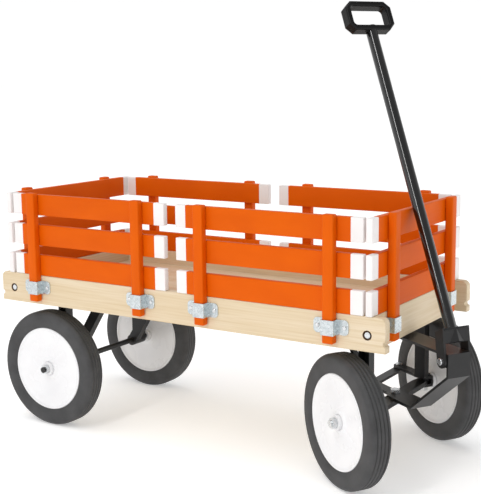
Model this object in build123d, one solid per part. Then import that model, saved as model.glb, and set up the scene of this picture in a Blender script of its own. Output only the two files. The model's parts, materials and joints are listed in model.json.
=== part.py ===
from build123d import *
import os
from math import cos, radians, sin, sqrt

# Kids pull wagon. Millimetres, +Z up, +X towards the pulling handle, +Y to the wagon's own left.
# It is drawn about the bed's centre at ground level and moved, at the end, so that the origin is
# the centre of the whole wagon's box, on the ground. Every piece is drawn where it stands at rest:
# the front wheels and tongue turned to the right, the handle leaning back on the front rack.

# Wheels
WHEEL_R = 127.0
TYRE_WIDTH = 43.0
TYRE_BORE_R = 91.0
TYRE_SHOULDER = 11.0
GROOVE_WIDTH = 2.2
GROOVE_DEPTH = 2.0
GROOVE_PITCH = 7.5
GROOVE_COUNT = 4
RIM_STEEL = 2.0
RIM_INSET = 2.5
RIM_DISH = 7.0
RIM_KNEE_AT = 0.55
RIM_KNEE_RISE = 0.22
HUB_R = 14.0
HUB_LENGTH = 44.0
BEARING_R = 9.5
BEARING_LENGTH = 12.0
AXLE_R = 6.35
RUNNING_GAP = 0.08
SIDE_GAP = 0.4
AXLE_NUT_R = 10.5
AXLE_NUT_LENGTH = 9.0
AXLE_STICKOUT = 3.0

# Bed
BOARD_LENGTH = 927.0
BOARD_HEIGHT = 63.5
BOARD_THICK = 19.0
BOARD_OVERHANG = 25.5
BOARD_CORNER_R = 12.0
BOARD_NOTCH_R = 5.0
BOARD_NOTCH_UP = 17.0
BED_WIDTH = 404.0
BED_OVER_WHEELS = 18.5
BATTEN_THICK = 19.0
BATTEN_WIDTH = 80.0
PLANK_THICK = 12.7
PLANK_COUNT = 5
PLANK_GAP = 3.0
CORNER_BOLT_UP = 30.0
CORNER_BOLT_R = 4.0
CORNER_BOLT_REACH = 45.0
BOLT_SINK_R = 9.0
BOLT_SINK = 5.0
BOLT_HEAD_R = 5.5
BOLT_HEAD_THICK = 4.0

# Slatted racks
SLAT_HEIGHT = 44.5
SLAT_GAP = 20.5
SLAT_THICK = 12.7
SLAT_COUNT = 3
SIDE_RACK_SPLIT = 28.0
RACK_CORNER_GAP = 5.0
END_RACK_OVERHANG = 2.0
STAKE_WIDTH = 22.0
STAKE_THICK = 16.0
STAKE_INSET = 62.75
END_STAKE_INSET = 72.0
STAKE_DROP = 55.0
STAKE_RISE = 4.0
STAKE_TIP = 3.0
LIFT_GAP = 0.3

# Stake pockets
POCKET_HEIGHT = 28.0
POCKET_UP = 24.5
POCKET_STEEL = 2.0
POCKET_BEND_R = 1.8
POCKET_GAP = 0.4
POCKET_EAR = 22.0
POCKET_EAR_R = 8.0
SCREW_R = 2.2
SCREW_HEAD_R = 4.2
SCREW_HEAD_THICK = 2.4
SCREW_DOME = 1.4
SCREW_LENGTH = 14.0

# Rear gear
REAR_AXLE_INSET = 89.0
REAR_WHEEL_INSET = 29.0
REAR_LEG_INSET = 74.0
LEG_WIDTH = 22.0
LEG_DEPTH = 22.0
LEG_STEEL = 3.0
FOOT_THICK = 4.0
BRACE_WIDTH = 18.0
BRACE_THICK = 5.0
REAR_BRACE_RUN = 105.0
AXLE_BOSS_R = 13.0
AXLE_BOSS_LENGTH = 22.0

# Front gear
KINGPIN_END_INSET = 47.0
KINGPIN_SIDE_INSET = 63.0
KINGPIN_OFFSET = 38.0
KINGPIN_R = 5.0
KINGPIN_HEAD_R = 7.5
KINGPIN_HEAD = 5.0
KINGPIN_NUT_R = 9.0
KINGPIN_NUT = 8.0
BEAM_OVER_AXLE = 6.0
BEAM_THICK = 10.0
BEAM_WIDTH = 28.0
BEAM_TAPER = 30.8
BEAM_EYE_R = 10.0
PLATE_THICK = 6.0
FORK_PLATE_R = 12.0
FORK_BACK_GAP = 0.8
FORK_BACK = 4.0
TURN_GAP = 0.3
ARM_LENGTH = 91.0
ARM_WIDTH = 22.0
TIE_ROD_WIDTH = 20.0
TIE_PIN_R = 4.0
TIE_PIN_HEAD_R = 7.0
TIE_PIN_HEAD = 3.0
LEG_FOOT_REACH = 9.0
LEG_TOP_REACH = 36.0
LAG_R = 3.0
LAG_HEAD_R = 6.0
LAG_HEAD = 4.0
LAG_BITE = 14.0
LAG_INSET = 12.0
FRONT_BRACE_RUN = 27.0
FRONT_BRACE_DROP = 66.0
STEER = -31.5

# Tongue
TONGUE_WIDTH = 48.0
TONGUE_FLAT = 86.0
TONGUE_TAIL_WIDTH = 24.0
TONGUE_TAPER = 30.0
HINGE_REACH = 186.0
HINGE_UNDER_BED = 21.5
HINGE_BLOCK = 20.0
STRAP_STEEL = 5.0
FACE_HEIGHT = 44.0
PIVOT_R = 6.0
PIVOT_HEAD_R = 10.0
PIVOT_HEAD = 7.0
HINGE_PIN_R = 5.0
HINGE_HEAD_R = 6.5
HINGE_HEAD = 4.0
HINGE_HEAD_EASE = 1.5

# Handle
EAR_GAP = 0.5
EAR_THICK = 4.5
EAR_R = 12.5
YOKE_TOP = 53.0
YOKE_STEEL = 4.0
YOKE_LIP = 27.0
NOSE_HALF = 15.0
NOSE_PROUD = 8.0
TUBE_R = 11.0
TUBE_WALL = 2.0
TUBE_OFFSET = 15.0
TUBE_FOOT = 47.0
TUBE_TOP = 660.0
GRIP_WIDTH = 102.0
GRIP_HEIGHT = 62.0
GRIP_CHAMFER = 13.0
GRIP_BAR = 11.0
GRIP_DEPTH = 24.0
GRIP_INNER_R = 7.0
GRIP_SOCKET = 11.0
GRIP_ROUND = 4.0
REST_GAP = 0.4
LEAN_LIMIT = 60.0
LEAN_HALVINGS = 50

# Places worked out from the sizes above
BED_BOTTOM = 2 * WHEEL_R + BED_OVER_WHEELS
BOARD_TOP = BED_BOTTOM + BOARD_HEIGHT
END_FACE_X = BOARD_LENGTH / 2 - BOARD_OVERHANG
END_INNER_X = END_FACE_X - BOARD_THICK
REAR_AXLE_X = REAR_AXLE_INSET - END_FACE_X
KINGPIN_X = END_FACE_X - KINGPIN_END_INSET
INNER_Y = BED_WIDTH / 2 - BOARD_THICK
REAR_TRACK = BED_WIDTH - 2 * REAR_WHEEL_INSET
REAR_LEG_Y = BED_WIDTH / 2 - REAR_LEG_INSET
KINGPIN_Y = BED_WIDTH / 2 - KINGPIN_SIDE_INSET
PLANK_BOTTOM = BED_BOTTOM + BATTEN_THICK
DECK_TOP = PLANK_BOTTOM + PLANK_THICK
SLAT_TOP = BOARD_TOP + LIFT_GAP + SLAT_COUNT * SLAT_HEIGHT + (SLAT_COUNT - 1) * SLAT_GAP
SIDE_RACK_LENGTH = END_FACE_X - SLAT_THICK - LIFT_GAP - RACK_CORNER_GAP - SIDE_RACK_SPLIT / 2
SIDE_RACK_X = SIDE_RACK_SPLIT / 2 + SIDE_RACK_LENGTH / 2
END_RACK_LENGTH = BED_WIDTH + 2 * END_RACK_OVERHANG
END_STAKE_SPREAD = END_RACK_LENGTH - 2 * END_STAKE_INSET
POCKET_BOTTOM = BED_BOTTOM + POCKET_UP
POCKET_INNER = STAKE_WIDTH / 2 + POCKET_GAP
POCKET_OUTER = POCKET_INNER + POCKET_STEEL
SCREW_AT = POCKET_OUTER + POCKET_EAR - POCKET_EAR_R
BEAM_TOP = WHEEL_R + BEAM_OVER_AXLE
PLATE_BOTTOM = BEAM_TOP + TURN_GAP
PLATE_TOP = PLATE_BOTTOM + PLATE_THICK
LEG_BOTTOM = PLATE_TOP + TURN_GAP
LEG_TOP = BED_BOTTOM - FOOT_THICK
FORK_BOTTOM = BEAM_TOP - BEAM_THICK - TURN_GAP - PLATE_THICK
FORK_BACK_IN = BEAM_EYE_R + FORK_BACK_GAP
FORK_BACK_OUT = FORK_BACK_IN + FORK_BACK
TIE_TOP = PLATE_BOTTOM - TURN_GAP
TIE_BOTTOM = TIE_TOP - PLATE_THICK
HINGE_UP = BED_BOTTOM - HINGE_UNDER_BED
UPPER_PLATE_BOTTOM = HINGE_UP + HINGE_BLOCK / 2
UPPER_PLATE_TOP = UPPER_PLATE_BOTTOM + STRAP_STEEL
TONGUE_FACE = HINGE_REACH + HINGE_BLOCK / 2 + STRAP_STEEL
EAR_INNER = TONGUE_WIDTH / 2 + EAR_GAP
EAR_OUTER = EAR_INNER + EAR_THICK
SIDES = {"right": -1, "left": 1}


def block(x0, x1, y0, y1, z0, z1):
    """A box between two opposite corners."""
    middle = Pos((x0 + x1) / 2, (y0 + y1) / 2, (z0 + z1) / 2)
    return middle * Box(x1 - x0, y1 - y0, z1 - z0)


def rod(radius, x, y, z0, z1):
    """An upright round bar from z0 to z1."""
    return Pos(x, y, (z0 + z1) / 2) * Cylinder(radius, z1 - z0)


def cross_rod(radius, x, z, y0, y1):
    """A level round bar along Y from y0 to y1."""
    return Pos(x, (y0 + y1) / 2, z) * Rot(90, 0, 0) * Cylinder(radius, y1 - y0)


def hexagon(radius, x, y, z0, z1):
    """An upright six-sided nut or bolt head, radius across its corners."""
    outline = Pos(x, y, z0) * RegularPolygon(radius, 6)
    return extrude(outline, z1 - z0)


def cross_hexagon(radius, x, z, y0, y1):
    """A six-sided nut or bolt head whose axis lies along Y."""
    outline = Pos(x, y0, z) * Rot(-90, 0, 0) * RegularPolygon(radius, 6)
    return extrude(outline, y1 - y0)


def flat_plate(points, z0, z1):
    """A level plate with the given outline."""
    outline = make_face(Polyline([(x, y, z0) for x, y in points], close=True))
    return extrude(outline, z1 - z0, dir=(0, 0, 1))


def side_plate(points, y0, y1):
    """An upright plate that stands along X, its outline given as (x, z)."""
    outline = make_face(Polyline([(x, y0, z) for x, z in points], close=True))
    return extrude(outline, y1 - y0, dir=(0, 1, 0))


def bar_between(start, end, thick, y0, y1):
    """A flat bar seen edge-on in the XZ plane, from one (x, z) point to another."""
    run = end[0] - start[0]
    rise = end[1] - start[1]
    half = thick / 2 / sqrt(run * run + rise * rise)
    across = (-rise * half, run * half)
    corners = [
        (start[0] + across[0], start[1] + across[1]),
        (end[0] + across[0], end[1] + across[1]),
        (end[0] - across[0], end[1] - across[1]),
        (start[0] - across[0], start[1] - across[1]),
    ]
    return side_plate(corners, y0, y1)


def solids(shape):
    """Every separate solid of a shape, as a list."""
    return list(shape.solids())


nodes = {}


def keep(name, *pieces):
    """Store the solids of one sub-part under its name."""
    nodes[name] = [solid for piece in pieces for solid in solids(piece)]


# ---------------------------------------------------------------- racks

def slat_bottoms():
    """Heights of the undersides of a rack's slats."""
    return [BOARD_TOP + LIFT_GAP + i * (SLAT_HEIGHT + SLAT_GAP) for i in range(SLAT_COUNT)]


def rack(length, spread):
    """Slats and stakes of one rack, its outer face looking along +Y from y = 0."""
    slats = []
    for bottom in slat_bottoms():
        slats.append(block(-length / 2, length / 2, -SLAT_THICK, 0, bottom, bottom + SLAT_HEIGHT))
    stakes = []
    low = BOARD_TOP - STAKE_DROP
    high = SLAT_TOP + STAKE_RISE
    for x in (-spread / 2, spread / 2):
        stake = block(x - STAKE_WIDTH / 2, x + STAKE_WIDTH / 2, 0, STAKE_THICK, low, high)
        ends = stake.faces().sort_by(Axis.Z)
        stakes.append(chamfer(ends[0].edges() + ends[-1].edges(), STAKE_TIP))
    return slats, stakes


def pocket():
    """Bent steel strap round a stake, its ears flat on a board whose face is y = 0."""
    reach = STAKE_THICK + LIFT_GAP + POCKET_GAP
    bridge = block(-POCKET_OUTER, POCKET_OUTER, 0, reach + POCKET_STEEL, 0, POCKET_HEIGHT)
    bridge = bridge - block(-POCKET_INNER, POCKET_INNER, 0, reach, 0, POCKET_HEIGHT)
    corners = bridge.edges().filter_by(Axis.Z).group_by(Axis.Y)[-1]
    bridge = fillet(corners, POCKET_BEND_R)
    ears = []
    for side in (-1, 1):
        inner = side * POCKET_OUTER
        outer = side * (POCKET_OUTER + POCKET_EAR)
        ear = block(min(inner, outer), max(inner, outer), 0, POCKET_STEEL, 0, POCKET_HEIGHT)
        tip = ear.edges().filter_by(Axis.Y).group_by(Axis.X)[-1 if side > 0 else 0]
        ear = fillet(tip, POCKET_EAR_R)
        hole = cross_rod(SCREW_R, side * SCREW_AT, POCKET_HEIGHT / 2, 0, POCKET_STEEL)
        ears.append(ear - hole)
    return bridge + ears[0] + ears[1]


def screw():
    """Round-headed wood screw that points along -Y, its head seated at y = POCKET_STEEL."""
    shank = cross_rod(SCREW_R, 0, 0, POCKET_STEEL - SCREW_LENGTH, POCKET_STEEL)
    head = cross_rod(SCREW_HEAD_R, 0, 0, POCKET_STEEL, POCKET_STEEL + SCREW_HEAD_THICK)
    rim = head.edges().filter_by(GeomType.CIRCLE).group_by(Axis.Y)[-1]
    return shank + fillet(rim, SCREW_DOME)


side_spread = SIDE_RACK_LENGTH - 2 * STAKE_INSET
side_place = BED_WIDTH / 2
rack_places = {
    "right_rear": (Pos(-SIDE_RACK_X, -side_place, 0) * Rot(0, 0, 180), SIDE_RACK_LENGTH, side_spread),
    "right_front": (Pos(SIDE_RACK_X, -side_place, 0) * Rot(0, 0, 180), SIDE_RACK_LENGTH, side_spread),
    "left_rear": (Pos(-SIDE_RACK_X, side_place, 0), SIDE_RACK_LENGTH, side_spread),
    "left_front": (Pos(SIDE_RACK_X, side_place, 0), SIDE_RACK_LENGTH, side_spread),
    "rear": (Pos(-END_FACE_X, 0, 0) * Rot(0, 0, 90), END_RACK_LENGTH, END_STAKE_SPREAD),
    "front": (Pos(END_FACE_X, 0, 0) * Rot(0, 0, -90), END_RACK_LENGTH, END_STAKE_SPREAD),
}
one_pocket = pocket()
one_screw = screw()
pockets = []
screws = []
for name, (place, length, spread) in rack_places.items():
    slats, stakes = rack(length, spread)
    outward = Pos(0, LIFT_GAP, 0)
    keep("slats_" + name, *[place * outward * slat for slat in slats])
    keep("stakes_" + name, *[place * outward * stake for stake in stakes])
    for x in (-spread / 2, spread / 2):
        pockets.append(place * Pos(x, 0, POCKET_BOTTOM) * one_pocket)
        for side in (-1, 1):
            at = Pos(x + side * SCREW_AT, 0, POCKET_BOTTOM + POCKET_HEIGHT / 2)
            screws.append(place * at * one_screw)
keep("stake_pockets", *pockets)
keep("pocket_screws", *screws)

# ---------------------------------------------------------------- bed

bolt_up = BED_BOTTOM + CORNER_BOLT_UP
bolt_x = END_FACE_X - BOARD_THICK / 2
corner_bolts = []
bolt_sinks = []
for side in (-1, 1):
    for x in (-bolt_x, bolt_x):
        face = side * BED_WIDTH / 2
        seat = face - side * BOLT_SINK
        top = seat + side * BOLT_HEAD_THICK
        far = face - side * CORNER_BOLT_REACH
        head = cross_rod(BOLT_HEAD_R, x, bolt_up, min(seat, top), max(seat, top))
        shank = cross_rod(CORNER_BOLT_R, x, bolt_up, min(seat, far), max(seat, far))
        corner_bolts.append(head + shank)
        bolt_sinks.append(cross_rod(BOLT_SINK_R, x, bolt_up, min(seat, face), max(seat, face)))
keep("corner_bolts", *corner_bolts)


def side_board(side):
    """Long board of the bed, round-cornered and notched at both ends."""
    inner = side * INNER_Y
    outer = side * BED_WIDTH / 2
    half = BOARD_LENGTH / 2
    board = block(-half, half, min(inner, outer), max(inner, outer), BED_BOTTOM, BOARD_TOP)
    top_corners = board.edges().filter_by(Axis.Y).group_by(Axis.Z)[-1]
    board = fillet(top_corners, BOARD_CORNER_R)
    for x in (-half, half):
        board = board - cross_rod(BOARD_NOTCH_R, x, BED_BOTTOM + BOARD_NOTCH_UP, -BED_WIDTH, BED_WIDTH)
    return board


def end_board(x):
    """Short board between the two side boards, its outer face at x."""
    inner = x - BOARD_THICK if x > 0 else x + BOARD_THICK
    return block(min(x, inner), max(x, inner), -INNER_Y, INNER_Y, BED_BOTTOM, BOARD_TOP)


boards = {
    "side_board_right": side_board(-1),
    "side_board_left": side_board(1),
    "end_board_front": end_board(END_FACE_X),
    "end_board_rear": end_board(-END_FACE_X),
}
for name, board in boards.items():
    for fastener in screws + corner_bolts + bolt_sinks:
        if board.bounding_box().overlaps(fastener.bounding_box()):
            board = board - fastener
    keep(name, board)

plank_width = (2 * INNER_Y - (PLANK_COUNT - 1) * PLANK_GAP) / PLANK_COUNT
planks = []
for i in range(PLANK_COUNT):
    y = -INNER_Y + i * (plank_width + PLANK_GAP)
    planks.append(block(-END_INNER_X, END_INNER_X, y, y + plank_width, PLANK_BOTTOM, DECK_TOP))
keep("floor_planks", *planks)

front_batten_x = min(KINGPIN_X - FRONT_BRACE_RUN / 2, END_INNER_X - BATTEN_WIDTH / 2)
rear_batten_x = max(REAR_AXLE_X, BATTEN_WIDTH / 2 - END_INNER_X)
battens = []
for x in (rear_batten_x, 0, front_batten_x):
    ends = (x - BATTEN_WIDTH / 2, x + BATTEN_WIDTH / 2)
    battens.append(block(ends[0], ends[1], -INNER_Y, INNER_Y, BED_BOTTOM, PLANK_BOTTOM))

# ---------------------------------------------------------------- wheels

def tyre():
    """Solid rubber tyre about the Z axis, with round shoulders and grooves round its tread."""
    half = TYRE_WIDTH / 2
    ring = Cylinder(WHEEL_R, TYRE_WIDTH) - Cylinder(TYRE_BORE_R, TYRE_WIDTH)
    shoulders = ring.edges().filter_by(GeomType.CIRCLE).group_by(SortBy.RADIUS)[-1]
    ring = fillet(shoulders, TYRE_SHOULDER)
    for i in range(GROOVE_COUNT):
        z = (i - (GROOVE_COUNT - 1) / 2) * GROOVE_PITCH
        groove = Cylinder(WHEEL_R + half, GROOVE_WIDTH) - Cylinder(WHEEL_R - GROOVE_DEPTH, GROOVE_WIDTH)
        ring = ring - Pos(0, 0, z) * groove
    return ring


def rim_half():
    """Pressed steel disc: a flange that carries the tyre, and a web dished in to the hub."""
    edge = TYRE_WIDTH / 2 - RIM_INSET
    hub_face = edge - RIM_DISH
    flange_in = TYRE_BORE_R - RIM_STEEL
    knee_r = flange_in * RIM_KNEE_AT
    knee_face = hub_face + RIM_DISH * RIM_KNEE_RISE
    outline = [
        (TYRE_BORE_R, 0),
        (TYRE_BORE_R, edge),
        (flange_in, edge),
        (knee_r, knee_face),
        (HUB_R, hub_face),
        (HUB_R, hub_face - RIM_STEEL),
        (knee_r, knee_face - RIM_STEEL),
        (flange_in, edge - RIM_STEEL),
        (flange_in, 0),
    ]
    face = make_face(Polyline([(x, 0, z) for x, z in outline], close=True))
    return revolve(face, Axis.Z)


def wheel():
    """Tyre, rim halves, hub tube and bearings of one wheel about the Z axis."""
    half = HUB_LENGTH / 2
    hub = Cylinder(HUB_R, HUB_LENGTH) - Cylinder(BEARING_R, HUB_LENGTH)
    bush = Cylinder(BEARING_R, BEARING_LENGTH) - Cylinder(AXLE_R + RUNNING_GAP, BEARING_LENGTH)
    bushes = [Pos(0, 0, side * (half - BEARING_LENGTH / 2)) * bush for side in (-1, 1)]
    upper = rim_half()
    lower = mirror(upper, Plane.XY)
    return {"tyre": [tyre()], "rim": [upper, lower], "hub": [hub] + bushes}


one_wheel = wheel()


def keep_wheel(label, place):
    """Store one wheel, its axis turned from Z to Y and carried to its place."""
    for piece, shapes in one_wheel.items():
        keep(piece + "_" + label, *[place * Rot(90, 0, 0) * shape for shape in shapes])


def axle_nut(place, side):
    """Nut at the outer end of an axle that points along Y, its hub end at y = 0."""
    start = side * SIDE_GAP
    end = side * (SIDE_GAP + AXLE_NUT_LENGTH)
    nut = cross_hexagon(AXLE_NUT_R, 0, 0, min(start, end), max(start, end))
    return place * (nut - cross_rod(AXLE_R, 0, 0, min(start, end), max(start, end)))


axle_end = HUB_LENGTH / 2 + SIDE_GAP + AXLE_NUT_LENGTH + AXLE_STICKOUT
for label, side in SIDES.items():
    keep_wheel("rear_" + label, Pos(REAR_AXLE_X, side * REAR_TRACK / 2, WHEEL_R))

# ---------------------------------------------------------------- rear gear

rear_reach = REAR_TRACK / 2 + axle_end
rear_axle = cross_rod(AXLE_R, REAR_AXLE_X, WHEEL_R, -rear_reach, rear_reach)
keep("rear_axle", rear_axle)
keep("rear_axle_nuts", *[
    axle_nut(Pos(REAR_AXLE_X, side * (REAR_TRACK / 2 + HUB_LENGTH / 2), WHEEL_R), side)
    for side in SIDES.values()
])


def channel_leg(x, side, y_web, z0, z1):
    """Upright steel channel, open away from the centre line, its web's inner face at y_web."""
    near = side * y_web
    far = side * (y_web + LEG_DEPTH)
    y = sorted((near, far))
    leg = block(x - LEG_WIDTH / 2, x + LEG_WIDTH / 2, y[0], y[1], z0, z1)
    inside = LEG_WIDTH / 2 - LEG_STEEL
    cut = sorted((near + side * LEG_STEEL, far))
    return leg - block(x - inside, x + inside, cut[0], cut[1], z0, z1)


def top_foot(batten_x, side, y_web):
    """Flat plate that bolts a leg to the batten above it."""
    y = sorted((side * (y_web - LEG_TOP_REACH / 2), side * (y_web + LEG_DEPTH + LEG_TOP_REACH / 2)))
    half = BATTEN_WIDTH / 2
    return block(batten_x - half, batten_x + half, y[0], y[1], LEG_TOP, BED_BOTTOM)


rear_legs = []
rear_braces = []
rear_web = REAR_LEG_Y - LEG_DEPTH / 2
for side in SIDES.values():
    leg = channel_leg(REAR_AXLE_X, side, rear_web, WHEEL_R, LEG_TOP)
    boss_y = sorted((side * rear_web, side * (rear_web + AXLE_BOSS_LENGTH)))
    boss = cross_rod(AXLE_BOSS_R, REAR_AXLE_X, WHEEL_R, boss_y[0], boss_y[1])
    foot = top_foot(rear_batten_x, side, rear_web)
    rear_legs.append(leg + boss + foot - rear_axle)
    brace_y = sorted((side * (rear_web - BRACE_WIDTH), side * rear_web))
    low = (REAR_AXLE_X, WHEEL_R)
    high = (REAR_AXLE_X + REAR_BRACE_RUN, PLANK_BOTTOM)
    bar = bar_between(low, high, LEG_WIDTH, brace_y[0], brace_y[1])
    eye = cross_rod(AXLE_BOSS_R, REAR_AXLE_X, WHEEL_R, brace_y[0], brace_y[1])
    below_planks = block(-END_INNER_X, END_INNER_X, brace_y[0], brace_y[1], 0, PLANK_BOTTOM)
    rear_braces.append((bar + eye - rear_axle) & below_planks)
keep("rear_legs", *rear_legs)
keep("rear_braces", *rear_braces)

# ---------------------------------------------------------------- front gear

front_legs = []
front_braces = []
kingpins = []
kingpin_nuts = []
leg_web = KINGPIN_Y - LEG_DEPTH
for side in SIDES.values():
    y = side * KINGPIN_Y
    pin = rod(KINGPIN_R, KINGPIN_X, y, FORK_BOTTOM - KINGPIN_NUT - SIDE_GAP, LEG_BOTTOM + FOOT_THICK)
    head = rod(KINGPIN_HEAD_R, KINGPIN_X, y, LEG_BOTTOM + FOOT_THICK, LEG_BOTTOM + FOOT_THICK + KINGPIN_HEAD)
    kingpins.append(pin + head)
    nut_top = FORK_BOTTOM - TURN_GAP
    kingpin_nuts.append(hexagon(KINGPIN_NUT_R, KINGPIN_X, y, nut_top - KINGPIN_NUT, nut_top) - pin)
    leg = channel_leg(KINGPIN_X, side, leg_web, LEG_BOTTOM, LEG_TOP)
    sole_y = sorted((side * leg_web, side * (KINGPIN_Y + LEG_FOOT_REACH)))
    half = LEG_WIDTH / 2
    sole_x = (KINGPIN_X - half, KINGPIN_X + half)
    sole = block(sole_x[0], sole_x[1], sole_y[0], sole_y[1], LEG_BOTTOM, LEG_BOTTOM + FOOT_THICK)
    front_legs.append(leg + sole + top_foot(front_batten_x, side, leg_web) - pin)
    brace_y = sorted((side * leg_web, side * (leg_web + BRACE_WIDTH)))
    back = KINGPIN_X - half
    low = (back + BRACE_THICK, LEG_TOP - FRONT_BRACE_DROP)
    high = (back - FRONT_BRACE_RUN, LEG_TOP + BRACE_THICK)
    bar = bar_between(low, high, BRACE_THICK, brace_y[0], brace_y[1])
    front_braces.append(bar & block(0, back, brace_y[0], brace_y[1], 0, LEG_TOP))
keep("front_legs", *front_legs)
keep("front_braces", *front_braces)
keep("kingpins", *kingpins)
keep("kingpin_nuts", *kingpin_nuts)

pivot_bottom = BEAM_TOP - BEAM_THICK
pivot_top = PLATE_TOP + TURN_GAP
lower_bolt = rod(PIVOT_R, KINGPIN_X, 0, pivot_bottom - PIVOT_HEAD, pivot_top)
lower_bolt = lower_bolt + hexagon(PIVOT_HEAD_R, KINGPIN_X, 0, pivot_top, pivot_top + PIVOT_HEAD)
lower_nut = hexagon(PIVOT_HEAD_R, KINGPIN_X, 0, pivot_bottom - PIVOT_HEAD, pivot_bottom)
lower_bolt = lower_bolt + lower_nut
upper_head = UPPER_PLATE_BOTTOM - TURN_GAP
upper_bolt = rod(PIVOT_R, KINGPIN_X, 0, upper_head, PLANK_BOTTOM)
upper_bolt = upper_bolt + hexagon(PIVOT_HEAD_R, KINGPIN_X, 0, upper_head - PIVOT_HEAD, upper_head)
upper_bolt = upper_bolt + rod(PIVOT_HEAD_R, KINGPIN_X, 0, UPPER_PLATE_TOP + TURN_GAP, BED_BOTTOM)
keep("centre_pivot_bolts", lower_bolt, upper_bolt)

beam_half = BEAM_WIDTH / 2
beam_shoulder = KINGPIN_Y - BEAM_TAPER
beam_outline = [
    (KINGPIN_X - beam_half, -beam_shoulder),
    (KINGPIN_X - BEAM_EYE_R, -KINGPIN_Y),
    (KINGPIN_X + BEAM_EYE_R, -KINGPIN_Y),
    (KINGPIN_X + beam_half, -beam_shoulder),
    (KINGPIN_X + beam_half, beam_shoulder),
    (KINGPIN_X + BEAM_EYE_R, KINGPIN_Y),
    (KINGPIN_X - BEAM_EYE_R, KINGPIN_Y),
    (KINGPIN_X - beam_half, beam_shoulder),
]
beam = flat_plate(beam_outline, pivot_bottom, BEAM_TOP)
for side in SIDES.values():
    beam = beam + rod(BEAM_EYE_R, KINGPIN_X, side * KINGPIN_Y, pivot_bottom, BEAM_TOP)
for bolt in kingpins + [lower_bolt]:
    beam = beam - bolt
keep("front_axle_beam", beam)

# Lag screws that hold the four feet up against the battens
gear_screws = []
for x, web in ((rear_batten_x, rear_web), (front_batten_x, leg_web)):
    for side in SIDES.values():
        for dx in (-1, 1):
            for y in (web - LEG_TOP_REACH / 4, web + LEG_DEPTH + LEG_TOP_REACH / 4):
                at_x = x + dx * (BATTEN_WIDTH / 2 - LAG_INSET)
                shank = rod(LAG_R, at_x, side * y, LEG_TOP, BED_BOTTOM + LAG_BITE)
                head = hexagon(LAG_HEAD_R, at_x, side * y, LEG_TOP - LAG_HEAD, LEG_TOP)
                gear_screws.append(shank + head)
keep("gear_screws", *gear_screws)
for name in ("front_legs", "rear_legs"):
    legs = []
    for leg in nodes[name]:
        for lag in gear_screws:
            if leg.bounding_box().overlaps(lag.bounding_box()):
                leg = leg - lag
        legs.append(leg)
    keep(name, *legs)
drilled = []
for batten in battens:
    for bolt in gear_screws + [upper_bolt]:
        if batten.bounding_box().overlaps(bolt.bounding_box()):
            batten = batten - bolt
    drilled.append(batten)
keep("cross_battens", *drilled)

# ---------------------------------------------------------------- steering

steer_pivot = Pos(KINGPIN_X, 0, 0) * Rot(0, 0, STEER)
arm_half = ARM_WIDTH / 2
for label, side in SIDES.items():
    turned = Pos(KINGPIN_X, side * KINGPIN_Y, 0) * Rot(0, 0, STEER)
    out = sorted((0, side * FORK_BACK_OUT))
    back = sorted((side * FORK_BACK_IN, side * FORK_BACK_OUT))
    upper = rod(FORK_PLATE_R, 0, 0, PLATE_BOTTOM, PLATE_TOP)
    upper = upper + block(-FORK_PLATE_R, FORK_PLATE_R, out[0], out[1], PLATE_BOTTOM, PLATE_TOP)
    upper = upper + block(-ARM_LENGTH, 0, -arm_half, arm_half, PLATE_BOTTOM, PLATE_TOP)
    upper = upper + rod(arm_half, -ARM_LENGTH, 0, PLATE_BOTTOM, PLATE_TOP)
    lower_top = FORK_BOTTOM + PLATE_THICK
    lower = rod(FORK_PLATE_R, 0, 0, FORK_BOTTOM, lower_top)
    lower = lower + block(-FORK_PLATE_R, FORK_PLATE_R, out[0], out[1], FORK_BOTTOM, lower_top)
    spine = block(-FORK_PLATE_R, FORK_PLATE_R, back[0], back[1], FORK_BOTTOM, PLATE_TOP)
    knuckle = upper + lower + spine
    knuckle = knuckle - rod(KINGPIN_R + RUNNING_GAP, 0, 0, FORK_BOTTOM, PLATE_TOP)
    knuckle = knuckle - rod(TIE_PIN_R + RUNNING_GAP, -ARM_LENGTH, 0, PLATE_BOTTOM, PLATE_TOP)
    keep("knuckle_" + label, turned * knuckle)
    stub_y = sorted((side * FORK_BACK_OUT, side * (KINGPIN_OFFSET + axle_end)))
    keep("stub_axle_" + label, turned * cross_rod(AXLE_R, 0, WHEEL_R, stub_y[0], stub_y[1]))
    hub_end = Pos(0, side * (KINGPIN_OFFSET + HUB_LENGTH / 2), WHEEL_R)
    keep("axle_nut_" + label, turned * axle_nut(hub_end, side))
    keep_wheel("front_" + label, turned * Pos(0, side * KINGPIN_OFFSET, WHEEL_R))

steer = radians(STEER)
tie_x = KINGPIN_X - ARM_LENGTH * cos(steer)
tie_y = -ARM_LENGTH * sin(steer)
tie_half = TIE_ROD_WIDTH / 2
tie_rod = block(tie_x - tie_half, tie_x + tie_half, tie_y - KINGPIN_Y, tie_y + KINGPIN_Y, TIE_BOTTOM, TIE_TOP)
tie_pins = []
for offset in (-KINGPIN_Y, 0, KINGPIN_Y):
    tie_rod = tie_rod + rod(tie_half, tie_x, tie_y + offset, TIE_BOTTOM, TIE_TOP)
for offset in (-KINGPIN_Y, 0, KINGPIN_Y):
    shank = rod(TIE_PIN_R, tie_x, tie_y + offset, TIE_BOTTOM, PLATE_TOP + TURN_GAP)
    head_low = PLATE_TOP + TURN_GAP
    head = rod(TIE_PIN_HEAD_R, tie_x, tie_y + offset, head_low, head_low + TIE_PIN_HEAD)
    tie_pins.append(shank + head)
    tie_rod = tie_rod - shank
keep("tie_rod", tie_rod)
keep("tie_rod_pins", *tie_pins)

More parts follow.
